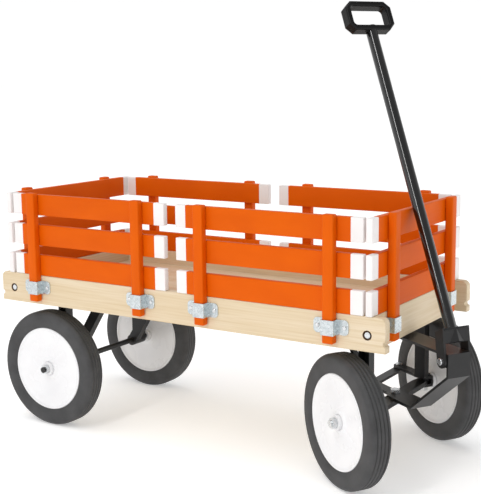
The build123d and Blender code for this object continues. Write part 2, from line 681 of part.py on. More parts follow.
tongue_half = TONGUE_WIDTH / 2
tail_half = TONGUE_TAIL_WIDTH / 2
plate_outline = [
    (-ARM_LENGTH, -tail_half),
    (-tail_half, -tail_half),
    (TONGUE_TAPER, -tongue_half),
    (TONGUE_FLAT, -tongue_half),
    (TONGUE_FLAT, tongue_half),
    (TONGUE_TAPER, tongue_half),
    (-tail_half, tail_half),
    (-ARM_LENGTH, tail_half),
]
lower_plate = flat_plate(plate_outline, PLATE_BOTTOM, PLATE_TOP)
lower_plate = lower_plate + rod(tail_half, -ARM_LENGTH, 0, PLATE_BOTTOM, PLATE_TOP)
face_low = UPPER_PLATE_TOP - FACE_HEIGHT
slope = (face_low - PLATE_BOTTOM) / (TONGUE_FACE - TONGUE_FLAT)
face_back = TONGUE_FACE - STRAP_STEEL
strap_outline = [
    (TONGUE_FLAT, PLATE_BOTTOM),
    (TONGUE_FACE, face_low),
    (TONGUE_FACE, UPPER_PLATE_TOP),
    (0, UPPER_PLATE_TOP),
    (0, UPPER_PLATE_BOTTOM),
    (face_back, UPPER_PLATE_BOTTOM),
    (face_back, PLATE_TOP + slope * (face_back - TONGUE_FLAT)),
    (TONGUE_FLAT, PLATE_TOP),
]
strap = side_plate(strap_outline, -tongue_half, tongue_half)
strap = strap + rod(tongue_half, 0, 0, UPPER_PLATE_BOTTOM, UPPER_PLATE_TOP) + lower_plate
strap = strap - rod(PIVOT_R + RUNNING_GAP, 0, 0, 0, BED_BOTTOM)
strap = strap - rod(TIE_PIN_R + RUNNING_GAP, -ARM_LENGTH, 0, PLATE_BOTTOM, PLATE_TOP)
keep("tongue", steer_pivot * strap)
block_half = HINGE_BLOCK / 2
hinge_block = block(
    HINGE_REACH - block_half, HINGE_REACH + block_half, -tongue_half, tongue_half,
    HINGE_UP - block_half, HINGE_UP + block_half,
)
hinge_block = hinge_block - cross_rod(HINGE_PIN_R + RUNNING_GAP, HINGE_REACH, HINGE_UP, -BED_WIDTH, BED_WIDTH)
keep("hinge_block", steer_pivot * hinge_block)

# ---------------------------------------------------------------- handle


def rest_distance(lean):
    """Distance from the tube's centre line to the front rack's top edge, the handle leaned back."""
    tilt = radians(lean)
    hinge_x = KINGPIN_X + HINGE_REACH * cos(steer)
    start_x = hinge_x + TUBE_OFFSET * cos(tilt) * cos(steer)
    start_z = HINGE_UP + TUBE_OFFSET * sin(tilt)
    run = -sin(tilt) * cos(steer)
    rise = cos(tilt)
    edge_x = END_FACE_X + LIFT_GAP
    across = (start_x - edge_x) * rise - (start_z - SLAT_TOP) * run
    return across / sqrt(run * run + rise * rise)


lean_low = 0.0
lean_high = LEAN_LIMIT
for _ in range(LEAN_HALVINGS):
    lean = (lean_low + lean_high) / 2
    if rest_distance(lean) > TUBE_R + REST_GAP:
        lean_low = lean
    else:
        lean_high = lean
handle_place = steer_pivot * Pos(HINGE_REACH, 0, HINGE_UP) * Rot(0, -lean, 0)

yoke_front = TUBE_OFFSET + TUBE_R + YOKE_STEEL
yoke_back = yoke_front - 2 * EAR_R
ear_outline = [(-EAR_R, 0), (EAR_R, 0), (yoke_front, YOKE_TOP), (yoke_back, YOKE_TOP)]
lip_front = EAR_R + (yoke_front - EAR_R) * YOKE_LIP / YOKE_TOP
web_outline = [
    (yoke_front, YOKE_TOP),
    (yoke_front - YOKE_STEEL, YOKE_TOP),
    (lip_front - YOKE_STEEL, YOKE_LIP),
    (lip_front, YOKE_LIP),
]
yoke = side_plate(web_outline, -EAR_INNER, EAR_INNER)
yoke = yoke + block(yoke_back, yoke_front, -EAR_INNER, EAR_INNER, YOKE_TOP - YOKE_STEEL, YOKE_TOP)
for side in SIDES.values():
    y = sorted((side * EAR_INNER, side * EAR_OUTER))
    yoke = yoke + side_plate(ear_outline, y[0], y[1]) + cross_rod(EAR_R, 0, 0, y[0], y[1])

# Folded nose on the web: two sloping faces that meet in a ridge, its point low and forward
nose_root = [
    (yoke_front, 0, YOKE_TOP),
    (lip_front, -NOSE_HALF, YOKE_LIP),
    (lip_front, NOSE_HALF, YOKE_LIP),
]
nose_tip = (lip_front + NOSE_PROUD, 0, YOKE_LIP)
nose_sides = [make_face(Polyline(nose_root, close=True))]
for i in range(len(nose_root)):
    edge = [nose_root[i], nose_root[(i + 1) % len(nose_root)], nose_tip]
    nose_sides.append(make_face(Polyline(edge, close=True)))
yoke = yoke + Solid(Shell(nose_sides))
yoke = yoke - cross_rod(HINGE_PIN_R, 0, 0, -EAR_OUTER, EAR_OUTER)
yoke = yoke - rod(TUBE_R, TUBE_OFFSET, 0, TUBE_FOOT, YOKE_TOP)
keep("yoke", handle_place * yoke)
pin = cross_rod(HINGE_PIN_R, 0, 0, -EAR_OUTER, EAR_OUTER)
for side in SIDES.values():
    y = sorted((side * EAR_OUTER, side * (EAR_OUTER + HINGE_HEAD)))
    head = cross_rod(HINGE_HEAD_R, 0, 0, y[0], y[1])
    rim = head.edges().filter_by(GeomType.CIRCLE).group_by(Axis.Y)[-1 if side > 0 else 0]
    pin = pin + fillet(rim, HINGE_HEAD_EASE)
keep("hinge_bolt", handle_place * pin)
tube = rod(TUBE_R, TUBE_OFFSET, 0, TUBE_FOOT, TUBE_TOP)
tube = tube - rod(TUBE_R - TUBE_WALL, TUBE_OFFSET, 0, TUBE_FOOT, TUBE_TOP)
keep("handle_tube", handle_place * tube)

grip_low = TUBE_TOP - GRIP_SOCKET
grip_mid = grip_low + GRIP_HEIGHT / 2
face = Plane(origin=(TUBE_OFFSET, 0, grip_mid), x_dir=(0, 1, 0), z_dir=(1, 0, 0))
outer = chamfer(Rectangle(GRIP_WIDTH, GRIP_HEIGHT).vertices(), GRIP_CHAMFER)
inner = fillet(Rectangle(GRIP_WIDTH - 2 * GRIP_BAR, GRIP_HEIGHT - 2 * GRIP_BAR).vertices(), GRIP_INNER_R)
grip = extrude(face * (outer - inner), GRIP_DEPTH / 2, both=True)
rims = grip.faces().sort_by(Axis.X)
grip = fillet(rims[0].edges() + rims[-1].edges(), GRIP_ROUND)
keep("grip", handle_place * (grip - rod(TUBE_R, TUBE_OFFSET, 0, grip_low, TUBE_TOP)))

# ---------------------------------------------------------------- files

whole = Compound([solid for pieces in nodes.values() for solid in pieces]).bounding_box()
origin_shift = Vector(-(whole.min.X + whole.max.X) / 2, -(whole.min.Y + whole.max.Y) / 2, -whole.min.Z)
os.makedirs("parts", exist_ok=True)
for name, pieces in nodes.items():
    moved = [Pos(origin_shift) * piece for piece in pieces]
    export_step(Compound(children=moved), os.path.join("parts", name + ".step"))
print(len(nodes), "sub-parts, handle leaning back", round(lean, 2), "degrees, moved by", origin_shift)
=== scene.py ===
# %% [markdown]
# # A child's pull wagon
# A wooden bed with removable slatted racks rides on four rubber-tyred steel wheels, and a black
# steel tongue with a long handle steers the front pair. The shape, size and joints come from a
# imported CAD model, and this lesson gives it its finishes: it rebuilds the pieces whose edges or
# profiles catch the light, and paints the rest where they stand.

import json
from math import cos, pi, radians, sin, tau

import bmesh
import bpy
from mathutils import Matrix, Vector


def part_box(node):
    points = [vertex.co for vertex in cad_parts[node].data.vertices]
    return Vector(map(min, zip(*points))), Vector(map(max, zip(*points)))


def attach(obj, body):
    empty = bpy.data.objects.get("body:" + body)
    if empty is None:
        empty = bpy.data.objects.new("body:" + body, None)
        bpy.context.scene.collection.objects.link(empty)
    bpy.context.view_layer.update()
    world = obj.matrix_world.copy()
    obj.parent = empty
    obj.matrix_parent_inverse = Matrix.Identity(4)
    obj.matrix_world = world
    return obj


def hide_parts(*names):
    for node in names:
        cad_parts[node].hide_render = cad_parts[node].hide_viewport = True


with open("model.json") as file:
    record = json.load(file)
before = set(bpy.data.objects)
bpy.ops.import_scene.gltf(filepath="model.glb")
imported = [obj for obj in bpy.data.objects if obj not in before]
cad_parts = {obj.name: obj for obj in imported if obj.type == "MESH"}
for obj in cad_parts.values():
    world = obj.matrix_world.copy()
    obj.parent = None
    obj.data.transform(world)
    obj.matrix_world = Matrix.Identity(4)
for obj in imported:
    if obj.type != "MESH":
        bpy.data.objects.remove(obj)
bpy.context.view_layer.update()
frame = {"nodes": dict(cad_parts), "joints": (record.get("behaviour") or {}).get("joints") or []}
MM = 0.001
WELD = 0.01 * MM

# %% [markdown]
# ## Mixing colours and wiring nodes
# A paint maker's colour card gives colours the way a screen shows them, but Blender's sockets
# want light itself, so one function turns a hex code to linear. Another adds any shader node:
# plain values go on its sockets, and another node's output is linked to them. The short ones
# below it are the few steps that every finish here is made of: noise, a change of range, a blend
# of two colours, and the three sockets of the shader that each finish drives.

# %% Colours and nodes

MIX_FACTOR, MIX_FIRST, MIX_SECOND, MIX_RESULT = 0, 6, 7, 2


def colour(code):
    """A screen hex colour as the linear colour that sockets take."""
    channels = [int(code[i : i + 2], 16) / 255 for i in (1, 3, 5)]
    linear = [c / 12.92 if c <= 0.04045 else ((c + 0.055) / 1.055) ** 2.4 for c in channels]
    return (*linear, 1.0)


def add(tree, kind, sockets, **settings):
    """One node with its settings, its socket values and its links."""
    node = tree.nodes.new("ShaderNode" + kind)
    for key, value in settings.items():
        setattr(node, key, value)
    for key, value in sockets.items():
        if isinstance(value, bpy.types.NodeSocket):
            tree.links.new(value, node.inputs[key])
        else:
            node.inputs[key].default_value = value
    return node


def noise(tree, place, scale, detail, **sockets):
    """Cloudy noise over a place."""
    sockets = {"Vector": place, "Scale": scale, "Detail": detail, **sockets}
    return add(tree, "TexNoise", sockets).outputs[0]


def spread(tree, value, source=(0, 1), target=(0, 1)):
    """A value carried from one range to another."""
    sockets = {"Value": value, "From Min": source[0], "From Max": source[1]}
    sockets |= {"To Min": target[0], "To Max": target[1]}
    return add(tree, "MapRange", sockets).outputs[0]


def blend(tree, factor, first, second):
    """One colour turning into another. Each is a hex code or another node's output."""
    first, second = [colour(end) if isinstance(end, str) else end for end in (first, second)]
    sockets = {MIX_FACTOR: factor, MIX_FIRST: first, MIX_SECOND: second}
    return add(tree, "Mix", sockets, data_type="RGBA").outputs[MIX_RESULT]


def object_place(tree):
    """Where a point of a piece is, in metres."""
    return add(tree, "TexCoord", {}).outputs["Object"]


def finish_named(name):
    """A new material, its node tree and its Principled shader."""
    material = bpy.data.materials.new(name)
    material.use_nodes = True
    return material, material.node_tree, material.node_tree.nodes["Principled BSDF"]


def drive(tree, skin, shade, gloss, relief, strength, deep_mm):
    """Lead a finish's colour, roughness and relief into its shader."""
    bump = add(tree, "Bump", {"Strength": strength, "Distance": deep_mm * MM, "Height": relief})
    tree.links.new(shade, skin.inputs["Base Color"])
    tree.links.new(gloss, skin.inputs["Roughness"])
    tree.links.new(bump.outputs[0], skin.inputs["Normal"])


print("mid grey in linear light:", [round(c, 3) for c in colour("#808080")])

# %% [markdown]
# ## Wood
# The bed is pale birch under clear satin lacquer, and the racks are the same wood under enamel.
# Growth rings show as streaks a few millimetres wide and hundreds long, always along a board's
# length. Each board below carries an attribute called grain, its own length, width and depth in
# metres, so the streaks turn with the board and no two boards share a figure. The attribute
# called tone is one shade per board, because boards come from different trees.

# %% Lacquered birch


def along_grain(tree, per_metre):
    """A board's own length, width and depth, with so many noise cells to the metre."""
    grain = add(tree, "Attribute", {}, attribute_name="grain").outputs["Vector"]
    return add(tree, "Mapping", {"Vector": grain, "Scale": per_metre}).outputs[0]


def shade_by_board(tree, paint, darkest, palest):
    """A colour made a little darker or paler from board to board."""
    tone = add(tree, "Attribute", {}, attribute_name="tone").outputs["Fac"]
    shade = spread(tree, tone, target=(darkest, palest))
    return add(tree, "HueSaturation", {"Value": shade, "Color": paint}).outputs[0]


def lacquered_birch():
    """Clear satin lacquer over pale wood: soft streaks and a dull sheen."""
    material, tree, skin = finish_named("lacquered_birch")
    # Broad figure, 25 mm wide and 0.4 m long
    figure = noise(tree, along_grain(tree, (2.5, 40, 40)), 1, 4, Distortion=0.6)
    # Growth streaks, 3 mm wide and 0.15 m long
    streak = noise(tree, along_grain(tree, (7, 330, 330)), 1, 5, Roughness=0.6)
    bands = spread(tree, figure, source=(0.35, 0.7))
    lines = spread(tree, streak, source=(0.42, 0.75))
    wood = blend(tree, bands, "#E6D5BA", "#DECAA8")
    lined = blend(tree, lines, wood, "#D6BF98")
    shade = shade_by_board(tree, lined, 0.93, 1.02)
    gloss = spread(tree, streak, target=(0.42, 0.62))
    drive(tree, skin, shade, gloss, streak, strength=0.25, deep_mm=0.4)
    skin.inputs["Specular IOR Level"].default_value = 0.3
    return material


birch = lacquered_birch()
print("made", birch.name)

# %% [markdown]
# Enamel hides the wood's colour but not its surface: raised grain still shows as faint lines in
# the gloss. The orange and the white are one recipe with different pigments, so one function
# makes both.

# %% Enamel on wood


def enamelled_wood(name, pigment, deep, rough):
    """Brushed enamel on sanded wood: an even colour, with the grain just telegraphing through."""
    material, tree, skin = finish_named(name)
    # Brush and grain lines, 2.5 mm apart and 0.12 m long
    line = noise(tree, along_grain(tree, (8, 400, 400)), 1, 4)
    # Cloudy thickness of the coat, 60 mm across
    cloud = noise(tree, along_grain(tree, (9, 17, 17)), 1, 3)
    coat = blend(tree, spread(tree, cloud, source=(0.3, 0.75)), pigment, deep)
    shade = shade_by_board(tree, coat, 0.97, 1.03)
    gloss = spread(tree, line, target=(rough - 0.06, rough + 0.1))
    drive(tree, skin, shade, gloss, line, strength=0.2, deep_mm=0.3)
    skin.inputs["Specular IOR Level"].default_value = 0.09
    return material


orange = enamelled_wood("orange_enamel_on_wood", "#DF5F00", "#D65700", rough=0.42)
white = enamelled_wood("white_enamel_on_wood", "#F3EFEE", "#ECE8E6", rough=0.38)
print("made", orange.name, "and", white.name)

# %% [markdown]
# ## Finding each board
# A CAD node can hold several boards, such as the three slats of a rack. Merging a copy's
# loose triangles and walking from corner to corner separates them, and each one's box says
# where its board goes.

# %% Boxes of the solids in a node


def loose_solids(node):
    """(low, high) corners of every separate solid in a CAD node, in order along X, Y and Z."""
    bm = bmesh.new()
    bm.from_mesh(frame["nodes"][node].data)
    bmesh.ops.remove_doubles(bm, verts=bm.verts, dist=WELD)
    boxes = []
    unseen = set(bm.verts)
    while unseen:
        stack = [unseen.pop()]
        found = []
        while stack:
            vert = stack.pop()
            found.append(vert.co.copy())
            for edge in vert.link_edges:
                other = edge.other_vert(vert)
                if other in unseen:
                    unseen.remove(other)
                    stack.append(other)
        low = Vector([min(co[k] for co in found) for k in range(3)])
        high = Vector([max(co[k] for co in found) for k in range(3)])
        boxes.append((low, high))
    bm.free()
    return sorted(boxes, key=lambda box: [round(v, 4) for v in box[0]])


print("slats in the near rear rack:", len(loose_solids("slats_right_rear")))

# %% [markdown]
# ## Boards with eased edges
# A sanded board has edges a millimetre or two round, and that is where it catches the light.
# Each board starts as a cube operator scaled to its box, and every edge is bevelled. The two
# attributes that the wood finishes read are written as each board is made.

# %% Board maker

BOARD_EASE, SLAT_EASE, STAKE_EASE = 1.2 * MM, 1.6 * MM, 2.6 * MM
EASE_STEPS = 3
# Each board's figure is cut this much further on, and each shade steps by the golden ratio
FIGURE_STEP = (1.37, 0.61, 0.29)
TONE_STEP = 0.618
boards_made = []


def settle(bm, name, body, materials, replaced):
    """Turn a finished bmesh into a piece that rides on a body and stands for its CAD nodes."""
    mesh = bpy.data.meshes.new(name)
    bm.to_mesh(mesh)
    bm.free()
    for material in materials:
        mesh.materials.append(material)
    piece = bpy.data.objects.new(name, mesh)
    bpy.context.scene.collection.objects.link(piece)
    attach(piece, body)
    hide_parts(*replaced)
    return piece


def mark_grain(bm, verts, low, high, seed):
    """Write a board's own length, width and depth on its corners, and its shade."""
    grain = bm.verts.layers.float_vector["grain"]
    tone = bm.verts.layers.float["tone"]
    size = high - low
    order = sorted(range(3), key=lambda k: -size[k])
    away = Vector([seed * step for step in FIGURE_STEP])
    for vert in verts:
        vert[grain] = Vector([vert.co[k] - low[k] for k in order]) + away
        vert[tone] = (seed * TONE_STEP) % 1.0


def ease(bm, edges, size):
    """Round some edges over, and return the faces that this makes."""
    eased = bmesh.ops.bevel(
        bm, geom=edges, offset=size, segments=EASE_STEPS, profile=0.5, affect="EDGES", material=-1
    )
    return eased["faces"]


def add_board(bm, low, high, round_size, seed):
    """One board with eased edges."""
    place = Matrix.Translation((low + high) / 2) @ Matrix.Diagonal((*(high - low), 1.0))
    made = bmesh.ops.create_cube(bm, size=1.0, matrix=place)
    edges = list({edge for vert in made["verts"] for edge in vert.link_edges})
    verts = {vert for face in ease(bm, edges, round_size) for vert in face.verts}
    mark_grain(bm, verts, low, high, seed)


def new_boards():
    """An empty bmesh that is ready for boards."""
    bm = bmesh.new()
    bm.verts.layers.float_vector.new("grain")
    bm.verts.layers.float.new("tone")
    return bm


def boards_of(node, round_size):
    """A bmesh with every board of a CAD node, rebuilt with eased edges."""
    bm = new_boards()
    for low, high in loose_solids(node):
        boards_made.append(node)
        add_board(bm, low, high, round_size, seed=len(boards_made))
    return bm


def shade_smooth(bm):
    """Round every face's shading into its neighbours'."""
    for face in bm.faces:
        face.smooth = True


def wooden(node, body, material, round_size):
    """A piece made of every board of a CAD node, in one finish."""
    bm = boards_of(node, round_size)
    shade_smooth(bm)
    settle(bm, "wood_" + node, body, [material], [node])


for node in ("floor_planks", "cross_battens", "end_board_front", "end_board_rear"):
    wooden(node, "wagon", birch, BOARD_EASE)
print("bed boards made:", len(boards_made))

# %% [markdown]
# ## The long side boards
# Each long board has rounded upper corners and a small half-round notch at both ends, low down,
# a maker's touch that also keeps the end grain from splitting. Half of its outline is drawn with
# single points, and spin turns a point about the corner's and the notch's centres to make the
# arcs. Mirror gives the other half, and the flat face is thickened and its rim eased. A bolt
# head sits below the face near each end, in a flat-bottomed hole that a Boolean modifier
# drills, because a round hole through a flat face is slow to draw by hand.

# %% Side boards

NOTCH_R = 5 * MM
NOTCH_UP = 17 * MM
CORNER_R = 12 * MM
ARC_STEPS = 8
SINK_R = 9 * MM
SINK_DEPTH = 5 * MM
DRILL_SIDES = 40
SIDE_BOARD_SEEDS = {"side_board_right": 41, "side_board_left": 57}
bolt_spots = [(low + high) / 2 for low, high in loose_solids("corner_bolts")]


# Painted shade: the walls and floors of the bolt holes are painted dark brown to stand in for the
# shadow that falls inside them.
def sink_shade_finish():
    """Painted shade for the bolt holes: dark brown, dull wood in place of the shadow inside a hole."""
    material, tree, skin = finish_named("drill_scorched_birch")
    shade_mottle = noise(tree, object_place(tree), 400, 4)
    tree.links.new(blend(tree, shade_mottle, "#3A2414", "#6B4A2C"), skin.inputs["Base Color"])
    skin.inputs["Roughness"].default_value = 0.8
    return material


sink_shade = sink_shade_finish()


def sunk(board, node):
    """The board's mesh with a flat-bottomed hole drilled round each corner bolt's head."""
    low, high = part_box(node)
    outer = low.y if low.y + high.y < 0 else high.y
    drill = bmesh.new()
    for middle in bolt_spots:
        if middle.y * outer > 0:
            tip = Vector((middle.x, outer, middle.z))
            place = Matrix.Translation(tip) @ Matrix.Rotation(pi / 2, 4, "X")
            bmesh.ops.create_cone(
                drill, cap_ends=True, segments=DRILL_SIDES, radius1=SINK_R, radius2=SINK_R,
                depth=2 * SINK_DEPTH, matrix=place,
            )
    cutter_mesh = bpy.data.meshes.new("sink_drill")
    drill.to_mesh(cutter_mesh)
    drill.free()
    cutter = bpy.data.objects.new("sink_drill", cutter_mesh)
    blank = bpy.data.objects.new("board_blank", board)
    for thing in (cutter, blank):
        bpy.context.scene.collection.objects.link(thing)
    cut = blank.modifiers.new("sink", "BOOLEAN")
    cut.object = cutter
    cut.solver = "EXACT"
    graph = bpy.context.evaluated_depsgraph_get()
    drilled = bpy.data.meshes.new_from_object(blank.evaluated_get(graph))
    for thing in (cutter, blank):
        bpy.data.objects.remove(thing)
    return drilled


def side_face(node):
    """The flat face of a long board, with its arcs, as a bmesh on the board's low Y side."""
    low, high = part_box(node)
    middle = (low.x + high.x) / 2
    bm = bmesh.new()

    def point(x, z):
        return bm.verts.new((x, low.y, z))

    def arc(start, centre_x, centre_z, angle):
        swept = bmesh.ops.spin(
            bm, geom=[start], cent=(centre_x, low.y, centre_z), axis=(0, 1, 0), angle=angle,
            steps=ARC_STEPS, use_merge=False,
        )
        return [item for item in swept["geom_last"] if isinstance(item, bmesh.types.BMVert)][0]

    foot, toe = point(middle, low.z), point(high.x, low.z)
    notch_start = point(high.x, low.z + NOTCH_UP - NOTCH_R)
    notch_end = arc(notch_start, high.x, low.z + NOTCH_UP, pi)
    corner_start = point(high.x, high.z - CORNER_R)
    corner_end = arc(corner_start, high.x - CORNER_R, high.z - CORNER_R, -pi / 2)
    top = point(middle, high.z)
    straights = [(foot, toe), (toe, notch_start), (notch_end, corner_start), (corner_end, top)]
    for start, end in straights:
        bm.edges.new((start, end))
    bmesh.ops.mirror(
        bm, geom=bm.verts[:] + bm.edges[:], matrix=Matrix.Translation((-middle, 0, 0)),
        merge_dist=WELD, axis="X",
    )
    bmesh.ops.remove_doubles(bm, verts=bm.verts, dist=WELD)
    bmesh.ops.contextual_create(bm, geom=bm.edges[:])
    return bm


def side_board(node, seed):
    """Long board with round top corners, notched ends and sunk bolt seats."""
    low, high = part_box(node)
    bm = side_face(node)
    grown = bmesh.ops.extrude_face_region(bm, geom=bm.faces[:])
    moved = [item for item in grown["geom"] if isinstance(item, bmesh.types.BMVert)]
    bmesh.ops.translate(bm, verts=moved, vec=(0, high.y - low.y, 0))
    bmesh.ops.recalc_face_normals(bm, faces=bm.faces)
    # The rims lie in the two faces, and every other edge crosses the thickness
    rims = [e for e in bm.edges if abs(e.verts[0].co.y - e.verts[1].co.y) < 0.1 * MM]
    ease(bm, rims, BOARD_EASE)
    blank = bpy.data.meshes.new("board_blank")
    bm.to_mesh(blank)
    bm.free()
    bm = new_boards()
    bm.from_mesh(sunk(blank, node))
    mark_grain(bm, bm.verts, low, high, seed)
    # Faces inside a bolt hole take the second finish, which is painted shade: dark brown in place of
    # the shadow in the hole.
    for face in bm.faces:
        face.smooth = abs(face.normal.y) < 0.999
        spot = face.calc_center_median()
        depth = min(abs(spot.y - low.y), abs(spot.y - high.y))
        in_sink = any((spot.xz - bolt.xz).length < SINK_R + 0.1 * MM for bolt in bolt_spots)
        face.material_index = 1 if in_sink and depth > 0.2 * MM else 0
    return settle(bm, "wood_" + node, "wagon", [birch, sink_shade], [node])


for node, seed in SIDE_BOARD_SEEDS.items():
    print(node, len(side_board(node, seed).data.polygons), "faces")

# %% [markdown]
# ## The racks
# Each rack is three slats screwed to two stakes. The slats are orange with the last 25 mm at
# each end painted white, so the racks meet in a white ladder at every corner. Cutting the mesh
# across at the paint line gives the ends faces of their own, and so a crisp edge, as masking
# tape leaves. The front rack stays in place on the wagon, because the handle leans on it.

# %% Racks

WHITE_END = 24.5 * MM
rack_bodies = {
    rack: "rack_" + rack for rack in ("right_rear", "right_front", "left_rear", "left_front", "rear")
}
rack_bodies["front"] = "wagon"


def slats(rack, body):
    """Three slats with white ends."""
    node = "slats_" + rack
    bm = boards_of(node, SLAT_EASE)
    low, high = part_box(node)
    along = 0 if high.x - low.x > high.y - low.y else 1
    paint_lines = (low[along] + WHITE_END, high[along] - WHITE_END)
    for line in paint_lines:
        spot, normal = Vector((0, 0, 0)), Vector((0, 0, 0))
        spot[along], normal[along] = line, 1
        everything = bm.verts[:] + bm.edges[:] + bm.faces[:]
        bmesh.ops.bisect_plane(bm, geom=everything, plane_co=spot, plane_no=normal)
    for face in bm.faces:
        place = face.calc_center_median()[along]
        face.material_index = 0 if paint_lines[0] < place < paint_lines[1] else 1
    shade_smooth(bm)
    settle(bm, "wood_" + node, body, [orange, white], [node])


for rack, body in rack_bodies.items():
    slats(rack, body)
    wooden("stakes_" + rack, body, orange, STAKE_EASE)
print("boards in all:", len(boards_made) + len(SIDE_BOARD_SEEDS))

# %% [markdown]
# ## Bright metal
# The stake pockets are strip steel bent round a stake and hot-dip galvanised, which leaves a
# frosty skin of zinc crystals a few millimetres wide. The screws, nuts and bolts are zinc
# plated, thinner and brighter. Both are metals, so their shine takes the room's colour, and
# only roughness and a faint crystal pattern tell them apart.

# %% Zinc finishes


def zinc(name, pale, dark, crystal_mm, rough):
    """Zinc on steel: crystals of slightly different grey and gloss."""
    material, tree, skin = finish_named(name)
    place = object_place(tree)
    crystals = add(tree, "TexVoronoi", {"Vector": place, "Scale": 1 / (crystal_mm * MM)})
    spangle = add(tree, "SeparateColor", {"Color": crystals.outputs["Color"]}).outputs[0]
    metal = blend(tree, spangle, pale, dark)
    gloss = spread(tree, spangle, target=(rough, rough + 0.14))
    scuff = noise(tree, place, 220, 5)
    drive(tree, skin, metal, gloss, scuff, strength=0.2, deep_mm=0.15)
    skin.inputs["Metallic"].default_value = 1.0
    return material


galvanised = zinc("galvanised_strip_steel", "#D2D8DA", "#BCC4C7", crystal_mm=3.0, rough=0.24)
plated = zinc("zinc_plated_steel", "#E3E5E6", "#C6C9CB", crystal_mm=1.5, rough=0.2)


def paint_nodes(material, nodes):
    """Give CAD nodes a finish where they stand."""
    for node in nodes:
        mesh = frame["nodes"][node].data
        mesh.materials.clear()
        mesh.materials.append(material)


plated_nodes = ["pocket_screws", "corner_bolts", "rear_axle_nuts", "gear_screws", "hinge_bolt"]
plated_nodes += ["kingpins", "kingpin_nuts", "centre_pivot_bolts", "tie_rod_pins"]
plated_nodes += ["stub_axle_right", "stub_axle_left", "axle_nut_right", "axle_nut_left"]
paint_nodes(galvanised, ["stake_pockets"])
paint_nodes(plated, plated_nodes)
print("zinc on", 1 + len(plated_nodes), "nodes")

# %% [markdown]
# ## Black paint
# The running gear and the tongue are thick steel under baked black powder paint, which flows
# into a faint orange-peel skin. The handle tube is smoother and glossier, and its long round
# side draws a bright line down its length. The grip is polypropylene, moulded against a
# spark-eroded tool that leaves it matt.

# %% Black finishes


def black_coat(name, pale, dark, peel_mm, peel_deep_mm, rough, shine):
    """Black skin over steel or plastic: peel in the gloss, a little dust in the colour."""
    material, tree, skin = finish_named(name)
    place = object_place(tree)
    dust = noise(tree, place, 14, 6, Roughness=0.65)
    shade = blend(tree, spread(tree, dust, source=(0.4, 0.75)), dark, pale)
    gloss = spread(tree, dust, target=(0.8 * rough, 1.3 * rough))
    peel = noise(tree, place, 1 / (peel_mm * MM), 2)
    drive(tree, skin, shade, gloss, peel, strength=0.3, deep_mm=peel_deep_mm)
    skin.inputs["Specular IOR Level"].default_value = shine
    return material


powder = black_coat(
    "black_powder_coated_steel", "#1F1F20", "#0D0D0E",
    peel_mm=2.5, peel_deep_mm=0.12, rough=0.4, shine=0.45,
)
enamel = black_coat(
    "gloss_black_enamelled_tube", "#0E0E0F", "#060607",
    peel_mm=6.0, peel_deep_mm=0.01, rough=0.09, shine=0.85,
)
moulded = black_coat(
    "spark_eroded_black_polypropylene", "#141415", "#0B0B0C",
    peel_mm=1.2, peel_deep_mm=0.15, rough=0.4, shine=0.2,
)

gear_nodes = ["rear_axle", "rear_legs", "rear_braces", "front_legs", "front_braces", "front_axle_beam"]
gear_nodes += ["tongue", "hinge_block", "tie_rod", "knuckle_right", "knuckle_left", "yoke"]
paint_nodes(powder, gear_nodes)
paint_nodes(enamel, ["handle_tube"])
paint_nodes(moulded, ["grip"])
print("black on", 2 + len(gear_nodes), "nodes")

# %% [markdown]
# ## Wheels
# A wheel is a moulded rubber tyre on two pressed and enamelled steel discs round a hub. All its
# pieces are round, so each one's profile is drawn once as a loop of points beside the axis and
# spun, and the same shape is carried to the four places that the wheel joints give.

# %% Where the wheels are

SPIN_WELD = 0.001 * MM
wheel_joints = {}
for joint in frame["joints"]:
    if joint["child"].startswith("wheel_"):
        wheel_joints[joint["child"]] = joint


def wheel_place(body):
    """Matrix that lays a shape drawn about Z on a wheel's axle, its +Z end outwards."""
    low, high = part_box(body.replace("wheel_", "tyre_"))
    axis = Vector(wheel_joints[body]["axis"]).normalized()
    outward = axis if axis.y * (low + high).y > 0 else -axis
    return Matrix.Translation((low + high) / 2) @ outward.to_track_quat("Z", "Y").to_matrix().to_4x4()


def spun(points, steps):
    """A closed loop of (radius, height) points, in mm, turned about Z."""
    bm = bmesh.new()
    verts = [bm.verts.new((r * MM, 0, z * MM)) for r, z in points]
    edges = [bm.edges.new((verts[i - 1], verts[i])) for i in range(len(verts))]
    bmesh.ops.spin(
        bm, geom=verts + edges, cent=(0, 0, 0), axis=(0, 0, 1), angle=tau, steps=steps, use_merge=True
    )
    bmesh.ops.remove_doubles(bm, verts=bm.verts, dist=SPIN_WELD)
    bmesh.ops.recalc_face_normals(bm, faces=bm.faces)
    return bm


def fit_wheels(draw, piece, material, stands_for):
    """Carry a shape to all four wheels, where each one stands for a CAD node."""
    for body in wheel_joints:
        label = body.removeprefix("wheel_")
        bm = draw()
        bmesh.ops.transform(bm, matrix=wheel_place(body), verts=bm.verts)
        shade_smooth(bm)
        settle(bm, piece + label, body, [material], [stands_for + label])


for body in wheel_joints:
    print(body, "is at", [round(v, 3) for v in wheel_place(body).translation])

# %% [markdown]
# The rubber is dark grey and dull, with a pale bloom on its surface that comes and goes over a
# few centimetres. Its profile is a bead ridge beside the disc, a flat side, a round shoulder and
# a crown with four grooves, and the other side is the same points with their heights turned.

# %% Tyres

TYRE_R, TYRE_HALF, TYRE_BORE = 127.0, 21.5, 91.0
TYRE_STEPS = 128
BEAD_CHAMFER, BEAD_STEP, BEAD_WIDE = 1.5, 1.0, 4.0
SHOULDER_R, SHOULDER_STEPS = 11.0, 8
GROOVES = (-11.25, -3.75, 3.75, 11.25)
GROOVE_MOUTH, GROOVE_FLOOR, GROOVE_DEEP = 1.3, 0.8, 2.4
CROWN_HALF, CROWN_DROP = 9.0, 0.4


